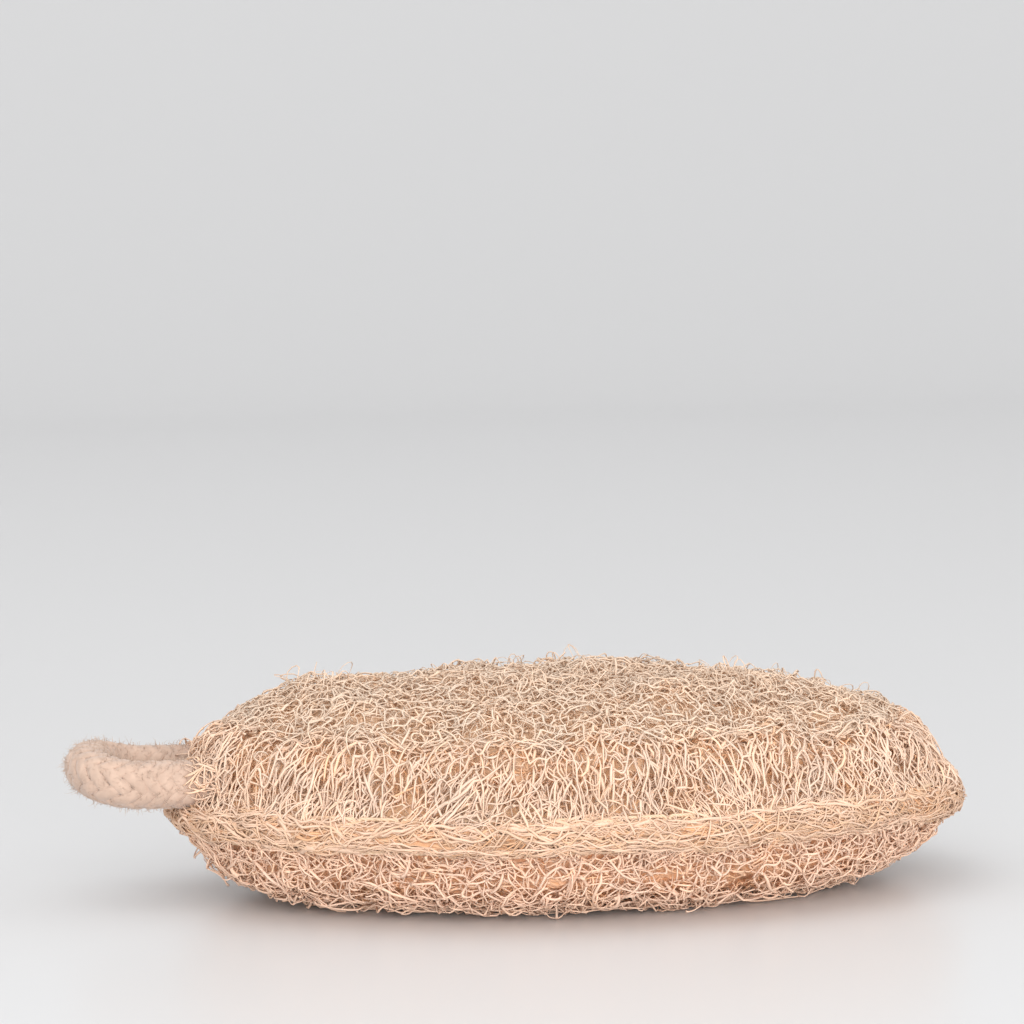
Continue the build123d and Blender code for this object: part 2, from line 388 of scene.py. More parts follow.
def comb(strands, surface, count, start, reach, lean, lift, radius, tone, stations=7, **shape):
    """Lays loose fibres from a run of start, for a length in reach, leaning by up to lean."""
    dice = strands.dice
    share = np.linspace(0, 1, stations)
    one = (count, 1)
    round_at = dice.uniform(0, PERIMETER, one)
    run_at = dice.uniform(*start, one)
    local_lean = 0.35 + 0.45 * np.sin(round_at / 13) + 0.3 * np.sin(round_at / 5.3 + 1)
    angle = lean * (local_lean + dice.normal(0, 0.45, one))
    length = dice.uniform(*reach, one)
    sway = dice.normal(0, 0.09, one) * length * np.sin(math.pi * share)
    sway = sway + dice.normal(0, 0.03, one) * length * np.sin(3 * math.pi * share)
    plan = np.stack([
        round_at + length * share * np.sin(angle) + sway * np.cos(angle),
        run_at + length * share * np.cos(angle) - sway * np.sin(angle),
    ], -1)
    low, high = lift
    lifts = dice.uniform(low, high, one) + dice.normal(0, 0.35, one) * np.sin(2 * math.pi * share)
    lifts = lifts - 0.9 * (2 * share - 1) ** 6
    radii = radius * dice.lognormal(0, 0.3, one) * (1 - 0.4 * (2 * share - 1) ** 4)
    strands.drape(surface, plan, lifts, radii, tone + dice.normal(0, 0.13, one), **shape)


def curls(strands, surface, middles, size, rise, radius, tone, turn=(1.2, 4.2), stations=8, **shape):
    """Arched fibres that stand up off a surface round the plan points in middles."""
    dice = strands.dice
    share = np.linspace(0, 1, stations)
    one = (len(middles), 1)
    sweep = dice.uniform(*turn, one) * dice.choice([-1, 1], one)
    angle = dice.uniform(0, 2 * math.pi, one) + sweep * (share - 0.5)
    bow = dice.uniform(*size, one) / np.sqrt(np.abs(sweep))
    plan = middles[:, None] + np.stack([bow * np.cos(angle), bow * np.sin(angle)], -1)
    lifts = dice.uniform(*rise, one) * np.sin(math.pi * share) ** 0.8 - 0.5
    radii = radius * dice.lognormal(0, 0.25, one) * (1 - 0.35 * (2 * share - 1) ** 4)
    strands.drape(surface, plan, lifts, radii, tone + dice.normal(0, 0.12, one), **shape)


# ---- materials ----
class Nodes:
    """A material's node tree, built up from its Principled shader."""

    def __init__(self, name, roughness):
        self.material = bpy.data.materials.new(name)
        self.material.use_nodes = True
        self.tree = self.material.node_tree
        self.shader = self.tree.nodes["Principled BSDF"]
        self.shader.inputs["Roughness"].default_value = roughness
        self.shader.inputs["Specular IOR Level"].default_value = 0.25

    def node(self, kind, settings=(), **sockets):
        made = self.tree.nodes.new(kind)
        for key, value in dict(settings).items():
            setattr(made, key, value)
        for key, value in sockets.items():
            socket = made.inputs[key.replace("_", " ")]
            if isinstance(value, bpy.types.NodeSocket):
                self.tree.links.new(value, socket)
            else:
                socket.default_value = value
        return made

    def ramp(self, value, stops):
        made = self.node("ShaderNodeValToRGB", Fac=value)
        elements = made.color_ramp.elements
        while len(elements) < len(stops):
            elements.new(0.5)
        for element, (place, colour) in zip(elements, stops):
            element.position = place
            element.color = (*colour, 1)
        return made.outputs["Color"]

    def mottle(self, colour, scale, low):
        """Darkens a colour in soft spots down to low of itself."""
        where = self.node("ShaderNodeTexCoord").outputs["Object"]
        spots = self.node("ShaderNodeTexNoise", Vector=where, Scale=scale, Detail=3.0).outputs[0]
        shade = self.ramp(spots, ((0.3, (low, low, low)), (0.65, (1, 1, 1))))
        mix = self.node("ShaderNodeMix", {"data_type": "RGBA", "blend_type": "MULTIPLY"})
        mix.inputs["Factor"].default_value = 1
        self.tree.links.new(colour, mix.inputs[6])
        self.tree.links.new(shade, mix.inputs[7])
        return mix.outputs[2]

    def finish(self, colour, bump=None, depth=0.0):
        self.tree.links.new(colour, self.shader.inputs["Base Color"])
        if bump is not None:
            made = self.node("ShaderNodeBump", Height=bump, Strength=0.5, Distance=depth)
            self.tree.links.new(made.outputs["Normal"], self.shader.inputs["Normal"])
        return self.material


def fibre_material(name, stops):
    """Dry plant fibre: tone from the mesh, with soft mottling along the pad."""
    nodes = Nodes(name, 0.75)
    tone = nodes.node("ShaderNodeAttribute", {"attribute_name": "tone"}).outputs["Fac"]
    return nodes.finish(nodes.mottle(nodes.ramp(tone, stops), scale=260.0, low=0.86))


def core_material(name, dark, light, top):
    """The packed fibre in the middle of a layer, seen through the nets.

    Two nets of lighter lines on a dark ground, turning to the plain top colour with height."""
    nodes = Nodes(name, 0.95)
    where = nodes.node("ShaderNodeTexCoord").outputs["Object"]
    nearest = nodes.node("ShaderNodeMath", {"operation": "MINIMUM"})
    for socket, cells in zip(nearest.inputs, (430.0, 640.0)):
        settings = {"feature": "DISTANCE_TO_EDGE"}
        lines = nodes.node("ShaderNodeTexVoronoi", settings, Vector=where, Scale=cells)
        nodes.tree.links.new(lines.outputs["Distance"], socket)
    # The dark ground between the lighter lines, a deep saturated orange, is painted shade of the gaps deep
    # in the fibre mass.
    colour = nodes.ramp(nearest.outputs[0], ((0.02, light), (0.2, dark)))
    relief = nodes.ramp(nearest.outputs[0], ((0.0, (1, 1, 1)), (0.16, (0, 0, 0))))
    height = nodes.node("ShaderNodeSeparateXYZ", Vector=where).outputs["Z"]
    share = nodes.node("ShaderNodeMapRange", Value=height, From_Min=0.024, From_Max=0.038)
    paler = nodes.node("ShaderNodeMix", {"data_type": "RGBA"}, Factor=share.outputs["Result"])
    nodes.tree.links.new(colour, paler.inputs[6])
    paler.inputs[7].default_value = (*top, 1)
    return nodes.finish(nodes.mottle(paler.outputs[2], scale=150.0, low=0.88), bump=relief, depth=0.0005)


def twisted_material(name, dark, light, twist):
    """Spun cotton: fine diagonal yarn lines from the mesh's own round-and-along coordinate."""
    nodes = Nodes(name, 0.9)
    nodes.shader.inputs["Sheen Weight"].default_value = 0.3
    turns = nodes.node("ShaderNodeAttribute", {"attribute_name": twist}).outputs["Fac"]
    line = nodes.node("ShaderNodeMath", {"operation": "SINE"})
    nodes.tree.links.new(turns, line.inputs[0])
    tone = nodes.node("ShaderNodeAttribute", {"attribute_name": "tone"}).outputs["Fac"]
    mixed = nodes.node("ShaderNodeMath", {"operation": "MULTIPLY_ADD"})
    nodes.tree.links.new(line.outputs[0], mixed.inputs[0])
    mixed.inputs[1].default_value = 0.03
    nodes.tree.links.new(tone, mixed.inputs[2])
    colour = nodes.ramp(mixed.outputs[0], ((0.0, dark), (1.0, light)))
    return nodes.finish(nodes.mottle(colour, scale=380.0, low=0.84), bump=line.outputs[0], depth=0.00005)


def thread_material(name, dark, light):
    """Sewing thread on the CAD stitches, with slanting ply lines."""
    nodes = Nodes(name, 0.8)
    where = nodes.node("ShaderNodeTexCoord").outputs["Object"]
    ply = nodes.node(
        "ShaderNodeTexWave", {"bands_direction": "DIAGONAL"}, Vector=where, Scale=900.0, Distortion=1.5
    ).outputs["Fac"]
    colour = nodes.mottle(nodes.ramp(ply, ((0.1, dark), (0.8, light))), scale=400.0, low=0.85)
    return nodes.finish(colour, bump=ply, depth=0.00008)


# In each ramp the low end, a darker and more saturated orange, colours the deep fibres: painted warm shade
# in the gaps of the fibre mass.
wall_look = fibre_material("loofah_wall", (
    (0.0, (0.93, 0.52, 0.27)), (0.5, (0.87, 0.60, 0.42)), (1.0, (0.78, 0.58, 0.45)),
))
# The top's ramp is a paler, greyer copy of the wall's: painted light on the top.
top_look = fibre_material("loofah_top", (
    (0.0, (0.92, 0.61, 0.39)), (0.5, (0.84, 0.615, 0.45)), (1.0, (0.75, 0.59, 0.465)),
))
# The lower layer's ramp is a pinker, brighter copy of the wall's: painted bounce light from the floor.
lower_look = fibre_material("loofah_lower", (
    (0.0, (0.96, 0.55, 0.30)), (0.5, (0.96, 0.65, 0.46)), (1.0, (0.90, 0.635, 0.485)),
))
rim_look = fibre_material("loofah_rim", (
    (0.0, (0.80, 0.43, 0.22)), (0.5, (0.70, 0.46, 0.30)), (1.0, (0.76, 0.53, 0.39)),
))
# Each core's dark colour is painted shade of the deep gaps.
upper_core_look = core_material(
    "loofah_core_upper", dark=(0.76, 0.43, 0.22), light=(0.85, 0.56, 0.36), top=(0.84, 0.58, 0.39)
)
lower_core_look = core_material(
    "loofah_core_lower", dark=(0.78, 0.40, 0.21), light=(0.90, 0.54, 0.34), top=(0.90, 0.54, 0.34)
)
rim_core_look = core_material(
    "loofah_core_rim", dark=(0.78, 0.45, 0.24), light=(0.84, 0.60, 0.41), top=(0.84, 0.60, 0.41)
)


# ---- cores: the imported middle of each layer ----
CORE_STATIONS = 300
CORE_ROUND = np.linspace(0, PERIMETER, CORE_STATIONS, endpoint=False)
CORE_MIDDLE_INSET = 34.0     # the core's flat middle starts this far in


def rings_under(surface, runs, depth, window, lumps=1.0):
    """Rings round the oval, depth under a surface, and deeper behind windows in the nets."""
    base, normal = surface.round_and_up(np.stack(np.meshgrid(CORE_ROUND, runs), -1))
    size, threshold = window
    pits = PIT_DEPTH * np.clip((waves(base, size, WINDOW_SEED) - threshold + PIT_LEAD) / PIT_FADE, 0, 1)
    depth = np.broadcast_to(depth, len(runs))[:, None] + pits
    return base + normal * (lumps * lump(base) - slump(base) - depth)[..., None]


def flat_rings(profile):
    facing = facing_at(CORE_ROUND)
    return np.array([
        oval_points(facing, inset, np.full(CORE_STATIONS, height)) for inset, height in profile
    ])


def closed_loaf(name, rings, material, seed, bumps=0.3):
    """A closed lump through rings, each (stations, 3), from the lowest to the highest."""
    rings = np.concatenate(rings)
    middles = [[0, 0, rings[0, :, 2].mean()], [0, 0, rings[-1, :, 2].mean()]]
    points = np.concatenate([rings.reshape(-1, 3), middles])
    points += bumps * np.stack([waves(points, 5, seed + axis) for axis in range(3)], -1)
    points[:, 2] = np.maximum(points[:, 2], FLOOR_GAP)
    at = np.arange(len(rings) * CORE_STATIONS).reshape(len(rings), CORE_STATIONS)
    after = np.roll(at, -1, axis=1)
    faces = np.stack([at[:-1], after[:-1], after[1:], at[1:]], -1).reshape(-1, 4).tolist()
    low, high = len(points) - 2, len(points) - 1
    faces += [(low, b, a) for a, b in zip(at[0].tolist(), after[0].tolist())]
    faces += [(high, a, b) for a, b in zip(at[-1].tolist(), after[-1].tolist())]
    mesh = bpy.data.meshes.new(name)
    mesh.from_pydata((points * MM).tolist(), [], faces)
    mesh.shade_smooth()
    mesh.materials.append(material)
    thing = bpy.data.objects.new(name, mesh)
    bpy.context.scene.collection.objects.link(thing)
    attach(thing, "pad")
    return thing


def run_at_inset(wall, inset):
    return np.interp(inset, wall.inset, wall.run)


upper_core = closed_loaf("upper_core", [
    flat_rings([(CORE_MIDDLE_INSET, MIDDLE_TOP - 0.3), (16.0, MIDDLE_TOP - 0.4), (4.0, MIDDLE_TOP)]),
    rings_under(
        UPPER_FLANK, np.linspace(2.2, UPPER_FLANK.run[-1] - 0.5, 9),
        depth=1.9, window=(UPPER_WINDOW, 1.8),
    ),
    rings_under(
        DOME, np.linspace(run_at_inset(DOME, 9.0), run_at_inset(DOME, CORE_MIDDLE_INSET), 26),
        depth=2.3, window=(UPPER_WINDOW, 1.4),
    ),
], upper_core_look, seed=21, bumps=0.15)
lower_core = closed_loaf("lower_core", [
    rings_under(
        BOWL, np.linspace(run_at_inset(BOWL, CORE_MIDDLE_INSET), run_at_inset(BOWL, 10.5), 18),
        depth=np.interp(np.arange(18), (8, 17), (1.5, 2.1)), window=(LOWER_WINDOW, 1.15), lumps=0.5,
    ),
    rings_under(
        LOWER_FLANK, np.linspace(LOWER_FLANK.run[-1] - 0.5, 2.2, 7),
        depth=2.1, window=(LOWER_WINDOW, 1.7), lumps=0.5,
    ),
    flat_rings([
        (4.0, MIDDLE_BOTTOM), (16.0, MIDDLE_BOTTOM + 0.4), (CORE_MIDDLE_INSET, MIDDLE_BOTTOM + 0.3),
    ]),
], lower_core_look, seed=31, bumps=0.15)
rim_core = closed_loaf("rim_core", [flat_rings([
    (CORE_MIDDLE_INSET, MIDDLE_BOTTOM - 0.2), (6.0, MIDDLE_BOTTOM - 0.3), (3.0, RIM_HEIGHT - 2.2),
    (1.6, RIM_HEIGHT - 1.5), (1.1, RIM_HEIGHT), (1.6, RIM_HEIGHT + 1.5), (3.0, RIM_HEIGHT + 2.2),
    (6.0, MIDDLE_TOP + 0.3), (CORE_MIDDLE_INSET, MIDDLE_TOP + 0.2),
])], rim_core_look, seed=41, bumps=0.2)


# ---- upper layer ----
def inside(least, most=99.0):
    def kept(plan):
        inset = facing_and_inset(plan)[1]
        return (inset > least) & (inset < most)
    return kept


ROUND = (-4.0, PERIMETER + 1.0)      # a net overlaps itself where it closes


def net_round(strands, surface, runs, pitch, keep, lift, radius, tone, **shape):
    net = Net((ROUND[0], runs[0]), (ROUND[1], runs[1]), pitch, keep, strands.dice)
    weave(strands, surface, net, lift, radius, tone, **shape)


def net_above(strands, surface, least_inset, pitch, keep, lift, radius, tone, **shape):
    net = Net((-72, -47), (72, 47), (pitch, pitch * 0.87), keep, strands.dice, inside(least_inset))
    weave(strands, surface, net, lift, radius, tone, **shape)


# In every net and comb of this layer the tone is set lower the deeper the fibres lie, from about 0.9 at the
# surface down to 0.16: painted shade in the depths of the fibre mass.
wall = Strands(1)
net_round(
    wall, DOME.round_and_up, runs=(-1, 21), pitch=(3.2, 5.6), keep=0.76, lift=0.6, radius=0.185,
    tone=0.86, stations=6, window=(UPPER_WINDOW, 1.5),
)
net_round(
    wall, DOME.round_and_up, runs=(-1, 20), pitch=(2.5, 4.2), keep=0.92, lift=-0.2, radius=0.19,
    tone=0.78, window=(UPPER_WINDOW, 1.4),
)
net_round(
    wall, DOME.round_and_up, runs=(-1, 20), pitch=(2.4, 3.8), keep=0.92, lift=-0.8, radius=0.20,
    tone=0.64, stations=4, window=(UPPER_WINDOW, 1.4),
)
wall_net = wall.object("upper_wall_net", wall_look)

wall_under = Strands(11)
net_round(
    wall_under, DOME.round_and_up, runs=(0, 20), pitch=(2.3, 3.4), keep=0.92, lift=-1.5, radius=0.20,
    tone=0.36, stations=4, sides=3,
)
net_round(
    wall_under, DOME.round_and_up, runs=(0, 20), pitch=(2.4, 3.4), keep=0.92, lift=-2.0, radius=0.20,
    tone=0.16, stations=4, sides=3,
)
wall_deep = wall_under.object("upper_wall_deep_net", wall_look)

top_under = Strands(13)
net_above(
    top_under, DOME.from_above, least_inset=10, pitch=2.6, keep=0.92, lift=-0.8, radius=0.19, tone=0.64,
    stations=4, sides=3, window=(UPPER_WINDOW, 1.7),
)
net_above(
    top_under, DOME.from_above, least_inset=10, pitch=2.6, keep=0.92, lift=-1.4, radius=0.20, tone=0.40,
    stations=4, sides=3,
)
net_above(
    top_under, DOME.from_above, least_inset=10, pitch=3.0, keep=0.92, lift=-1.9, radius=0.21, tone=0.30,
    stations=4, sides=3,
)
top_deep = top_under.object("upper_top_deep_net", top_look)

combed = Strands(2)
comb(
    combed, DOME.round_and_up, count=650, start=(-0.5, 8.0), reach=(4, 11), lean=0.75, lift=(-0.3, 0.9),
    radius=0.18, tone=0.90, stations=6, window=(UPPER_WINDOW, 1.4),
)
comb(
    combed, DOME.round_and_up, count=350, start=(0.0, 12.0), reach=(3, 9), lean=1.2, lift=(-1.2, 0.1),
    radius=0.18, tone=0.68, stations=6, window=(UPPER_WINDOW, 1.1),
)
comb(
    combed, UPPER_FLANK.round_and_up, count=900, start=(-0.5, 3.0), reach=(4, 11), lean=0.9,
    lift=(-0.4, 0.6), radius=0.155, tone=0.86, stations=6,
)
net_round(
    combed, UPPER_FLANK.round_and_up, runs=(-0.5, 9), pitch=(2.3, 3.2), keep=0.92, lift=-0.2,
    radius=0.16, tone=0.74, stations=4,
)
wall_strands = combed.object("upper_wall_strands", wall_look)

top = Strands(3)
net_above(
    top, DOME.from_above, least_inset=9.5, pitch=3.3, keep=0.80, lift=0.5, radius=0.175, tone=0.88,
    window=(UPPER_WINDOW, 1.7),
)
net_above(
    top, DOME.from_above, least_inset=9.5, pitch=2.6, keep=0.88, lift=-0.3, radius=0.17, tone=0.80,
    stations=4, window=(UPPER_WINDOW, 1.5),
)
top_net = top.object("upper_top_net", top_look)


def plan_spots(dice, count, least, most=99.0):
    spots = dice.uniform((-70, -45), (70, 45), (count, 2))
    return spots[inside(least, most)(spots)]


def crossing(strands, surface, middles, reach, lift, radius, tone, stations=6, **shape):
    """Nearly straight loose fibres over a net, each across one of the plan points in middles."""
    dice = strands.dice
    share = np.linspace(-0.5, 0.5, stations)
    one = (len(middles), 1)
    angle = dice.uniform(0, math.pi, one)
    length = dice.uniform(*reach, one)
    sway = dice.normal(0, 0.16, one) * length * (0.5 - 2 * share**2)
    ahead, aside = length * share, sway
    plan = middles[:, None] + np.stack([
        ahead * np.cos(angle) - aside * np.sin(angle), ahead * np.sin(angle) + aside * np.cos(angle)
    ], -1)
    lifts = dice.uniform(*lift, one) - 12.8 * share**4
    radii = radius * dice.lognormal(0, 0.3, one) * (1 - 4 * share**4)
    strands.drape(surface, plan, lifts, radii, tone + dice.normal(0, 0.12, one), **shape)


stray = Strands(4)
crossing(
    stray, DOME.from_above, plan_spots(stray.dice, 900, 9.0), reach=(2.5, 7.0), lift=(-0.7, 0.9),
    radius=0.16, tone=0.84, window=(UPPER_WINDOW, 1.3),
)
curls(
    stray, DOME.from_above, plan_spots(stray.dice, 800, 8.0), size=(1.2, 4.0), rise=(0.3, 1.6),
    radius=0.145, tone=0.84, turn=(0.6, 3.0), stations=7, window=(UPPER_WINDOW, 1.3),
)
clumps = plan_spots(stray.dice, 900, 8.5)
clumps = clumps[waves(np.pad(clumps, ((0, 0), (0, 1))), 30, 51) > 0.5]
curls(
    stray, DOME.from_above, clumps, size=(1.6, 4.6), rise=(1.4, 4.2), radius=0.11, tone=0.80,
    turn=(1.5, 6.0),
)
wall_spots = np.stack([stray.dice.uniform(0, PERIMETER, 500), stray.dice.uniform(1, 20, 500)], -1)
curls(
    stray, DOME.round_and_up, wall_spots, size=(1.2, 3.6), rise=(0.3, 1.1), radius=0.15, tone=0.88,
    turn=(0.6, 2.2), stations=7, window=(UPPER_WINDOW, 1.1),
)
top_curls = stray.object("upper_curls", top_look)


# ---- fibres of the upper layer that lie over the loop's two tails ----
COVER_RADIUS = CORD_DIAMETER / 2 + 0.35
COVER_LOW = (-74.2, -1.5)
COVER_HIGH = (-60.0, 17.2)
COVER_SLOPE = 4.6            # how much farther in the cover starts on top of the tail


def over_tail(row):
    """A sleeve over one tail: points and normals at (x, distance round the tail)."""
    def surface(plan):
        along, turn = plan[..., 0], plan[..., 1] / COVER_RADIUS
        normal = np.stack([0 * turn, np.cos(turn), np.sin(turn)], -1)
        middle = np.stack([along, np.full(turn.shape, row), np.full(turn.shape, CORD_EXIT[2])], -1)
        return middle + COVER_RADIUS * normal, normal
    return surface


def under_wall(plan):
    """Whether plan points on a sleeve lie under the sloping edge of the dome's fibres."""
    return plan[:, 0] > COVER_LOW[0] + COVER_SLOPE * np.clip(np.sin(plan[:, 1] / COVER_RADIUS), 0, 1)


cover = Strands(16)
for sleeve in (over_tail(LOOP_ROUTE[0][1]), over_tail(LOOP_ROUTE[-1][1])):
    # The tone falls from 0.84 on the outer net to 0.62 on the inner one: painted shade under the outer
    # fibres.
    for lift, tone in ((0.5, 0.84), (0.0, 0.72), (-0.1, 0.62)):
        net = Net(COVER_LOW, COVER_HIGH, (2.8, 2.1), 0.9, cover.dice, under_wall)
        weave(cover, sleeve, net, lift=lift, radius=0.155, tone=tone, spread=0.25, lumps=0.2)
    cover_spots = cover.dice.uniform(COVER_LOW, COVER_HIGH, (150, 2)) + (1.5, 0.0)
    cover_spots = cover_spots[under_wall(cover_spots)]
    crossing(
        cover, sleeve, cover_spots, reach=(2.5, 6.0), lift=(0.2, 0.9), radius=0.15, tone=0.84,
        lumps=0.2,
    )
tail_cover = cover.object("upper_tail_fibres", wall_look)


# ---- rim ----
def rim_strands(
    strands, count, reach, lift, radius, tone, turns=(-2.1, 2.1), wander=0.35, stations=14, **shape
):
    """Long wavy fibres that run round the rim."""
    dice = strands.dice
    share = np.linspace(0, 1, stations)
    one = (count, 1)
    length = dice.uniform(*reach, one)
    round_at = dice.uniform(0, PERIMETER, one) + length * (share - 0.5)
    turn = dice.uniform(*turns, one) + dice.normal(0, wander, one) * (share - 0.5) * 2
    for wave_length in (13.0, 6.5, 3.2):
        phase = dice.uniform(0, 2 * math.pi, one)
        sway = dice.normal(0, 0.055 * wander * wave_length, one)
        turn = turn + sway * np.sin(2 * math.pi * round_at / wave_length + phase)
    low, high = lift
    lifts = dice.uniform(low, high, one) + 0.3 * np.sin(round_at / 1.3 + dice.uniform(0, 6, one))
    radii = radius * dice.lognormal(0, 0.35, one) * (1 - 0.6 * (2 * share - 1) ** 6)
    plan = np.stack([round_at, turn], -1)
    strands.drape(rim_surface, plan, lifts, radii, tone + dice.normal(0, 0.14, one), lumps=0.4, **shape)


# The inner rim fibres get low tones (0.40, 0.55) and the outer ones high tones (0.80 to 1.0); the inner
# fibres' low tones are painted shade inside the rim.
rim = Strands(5)
rim_strands(rim, count=720, reach=(10, 34), lift=(-1.0, -0.3), radius=0.22, tone=0.40, stations=12)
rim_strands(
    rim, count=900, reach=(6, 24), lift=(-0.5, 0.2), radius=0.17, tone=0.55, wander=0.5, stations=12,
)
rim_net = rim.object("rim_fibres", rim_look)

short = Strands(15)
rim_strands(
    short, count=900, reach=(3, 11), lift=(-0.3, 0.5), radius=0.155, tone=0.80, wander=0.9, stations=8,
)
rim_strands(short, count=90, reach=(10, 34), lift=(0.0, 0.5), radius=0.24, tone=1.0, wander=0.35)
rim_strands(
    short, count=36, reach=(14, 40), lift=(-0.1, 0.5), radius=0.25, tone=1.0, turns=(0.2, 1.0),
    wander=0.3, stations=24,
)
rim_strands(
    short, count=22, reach=(14, 40), lift=(-0.1, 0.4), radius=0.22, tone=0.95, turns=(-1.1, -0.3),
    wander=0.3, stations=24,
)
rim_strands(
    short, count=34, reach=(25, 60), lift=(0.1, 0.7), radius=0.16, tone=0.95, turns=(-1.3, -0.5),
    wander=0.2, stations=30,
)
rim_short = short.object("rim_outer_fibres", rim_look)


def frays(strands, count, reach, turns, rise, radius, tone, stations=6):
    """Short fibre ends that stick out of the rim."""
    dice = strands.dice
    share = np.linspace(0, 1, stations)
    one = (count, 1)
    length = dice.uniform(*reach, one) * dice.choice([-1, 1], one)
    round_at = dice.uniform(0, PERIMETER, one) + length * share
    turn = dice.uniform(*turns, one) + dice.normal(0, 0.5, one) * share
    lifts = dice.uniform(*rise, one) * share**1.5 - 0.8
    radii = radius * dice.lognormal(0, 0.2, one) * (1 - 0.5 * share**3)
    plan = np.stack([round_at, turn], -1)
    strands.drape(rim_surface, plan, lifts, radii, tone + dice.normal(0, 0.12, one), lumps=0.4)


fray = Strands(6)
frays(fray, count=1300, reach=(1.5, 6.0), turns=(-2.1, 1.8), rise=(0.6, 2.2), radius=0.13, tone=0.84)
rim_frays = fray.object("rim_frays", rim_look)


# ---- lower layer ----
# The tone falls with depth, from 0.93 on the outer net to 0.24 on the deepest: painted shade in the depths
# of the fibre mass.
low = Strands(7)
net_round(
    low, BOWL.round_and_up, runs=(-1, 25), pitch=(5.2, 4.6), keep=0.80, lift=0.4, radius=0.21,
    tone=0.93, spread=0.6, lumps=0.5, stations=6, window=(LOWER_WINDOW, 1.7),
)
net_round(
    low, BOWL.round_and_up, runs=(-1, 25), pitch=(3.5, 3.2), keep=0.92, lift=-0.3, radius=0.20,
    tone=0.76, spread=0.55, lumps=0.5, window=(LOWER_WINDOW, 1.15),
)
lower_net = low.object("lower_wall_net", lower_look)

low_under = Strands(17)
net_round(
    low_under, BOWL.round_and_up, runs=(-1, 25), pitch=(2.9, 2.7), keep=0.92, lift=-1.0, radius=0.21,
    tone=0.58, lumps=0.5, stations=4, sides=3, window=(LOWER_WINDOW, 1.15),
)
net_round(
    low_under, BOWL.round_and_up, runs=(-1, 25), pitch=(2.9, 2.7), keep=0.92, lift=-1.6, radius=0.21,
    tone=0.24, lumps=0.5, stations=4, sides=3,
)
lower_deep = low_under.object("lower_wall_deep_net", lower_look)

belly = Strands(8)
net_above(
    belly, BOWL.from_above, least_inset=17, pitch=3.2, keep=0.92, lift=0.2, radius=0.19, tone=0.78,
    stations=4, spread=0.3, lumps=0.3,
)
net_above(
    belly, BOWL.from_above, least_inset=17, pitch=3.0, keep=0.92, lift=-0.8, radius=0.20, tone=0.55,
    stations=4, spread=0.3, lumps=0.3,
)
belly_net = belly.object("lower_belly_net", lower_look)

hanging = Strands(9)
comb(
    hanging, BOWL.round_and_up, count=500, start=(-1.0, 16.0), reach=(4, 12), lean=1.5,
    lift=(-0.5, 0.8), radius=0.18, tone=0.88, lumps=0.5, window=(LOWER_WINDOW, 1.0),
)
net_round(
    hanging, LOWER_FLANK.round_and_up, runs=(-0.5, 9), pitch=(3.4, 3.2), keep=0.92, lift=-0.1,
    radius=0.18, tone=0.80, lumps=0.5, stations=4,
)
net_round(
    hanging, LOWER_FLANK.round_and_up, runs=(-0.5, 9), pitch=(3.0, 3.0), keep=0.92, lift=-0.9,
    radius=0.18, tone=0.50, lumps=0.5, stations=4,
)
comb(
    hanging, LOWER_FLANK.round_and_up, count=420, start=(-0.5, 3.0), reach=(3, 9), lean=1.1,
    lift=(-0.4, 0.5), radius=0.155, tone=0.82, lumps=0.5,
)
comb(
    hanging, BOWL.round_and_up, count=240, start=(15.0, 21.0), reach=(5, 14), lean=3.0, lift=(0.0, 1.0),
    radius=0.17, tone=0.95, lumps=0.5,
)
low_spots = np.stack([hanging.dice.uniform(0, PERIMETER, 600), hanging.dice.uniform(3, 24, 600)], -1)
curls(
    hanging, BOWL.round_and_up, low_spots, size=(2.0, 5.5), rise=(0.5, 1.8), radius=0.16, tone=0.86,
    turn=(0.8, 4.0), lumps=0.5, window=(LOWER_WINDOW, 1.0),
)
lower_strands = hanging.object("lower_strands", lower_look)

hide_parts("upper_loofah_layer")
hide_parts("middle_loofah_layer")
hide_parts("lower_loofah_layer")


# ---- the braided cotton loop ----
def cord_line():
    """The cord's centreline in millimetres, read from a NURBS line through the CAD route's corners."""
    near, far = LOOP_ROUTE[0], LOOP_ROUTE[-1]
    corners = [(TAIL_INNER_X, *near[1:]), *LOOP_ROUTE, (TAIL_INNER_X, *far[1:])]
    curve = bpy.data.curves.new("cord_line", "CURVE")
    curve.dimensions = "3D"
    spline = curve.splines.new("NURBS")
    spline.points.add(len(corners) - 1)
    for point, corner in zip(spline.points, corners):
        point.co = (*(value * MM for value in corner), 1)
    spline.order_u = 3
    spline.use_endpoint_u = True
    spline.resolution_u = 40
    thing = bpy.data.objects.new("cord_line", curve)
    line = bpy.data.meshes.new_from_object(thing)
    points = np.array([tuple(vertex.co) for vertex in line.vertices]) / MM
    bpy.data.objects.remove(thing)
    bpy.data.meshes.remove(line)
    bpy.data.curves.remove(curve)
    return points


def resample(points, step):
    travel = np.concatenate([[0.0], np.cumsum(np.linalg.norm(np.diff(points, axis=0), axis=1))])
    at = np.linspace(0, travel[-1], int(travel[-1] / step) + 1)
    return np.stack([np.interp(at, travel, points[:, axis]) for axis in range(3)], -1), at


def cord_axes(line):
    """Two directions across the cord that don't twist along it."""
    along = unit(np.gradient(line, axis=0))
    across = [np.array([0.0, 0.0, 1.0])]
    for way in along:
        across.append(unit(across[-1] - way * np.dot(across[-1], way)))
    across = np.array(across[1:])
    return across, np.cross(along, across)


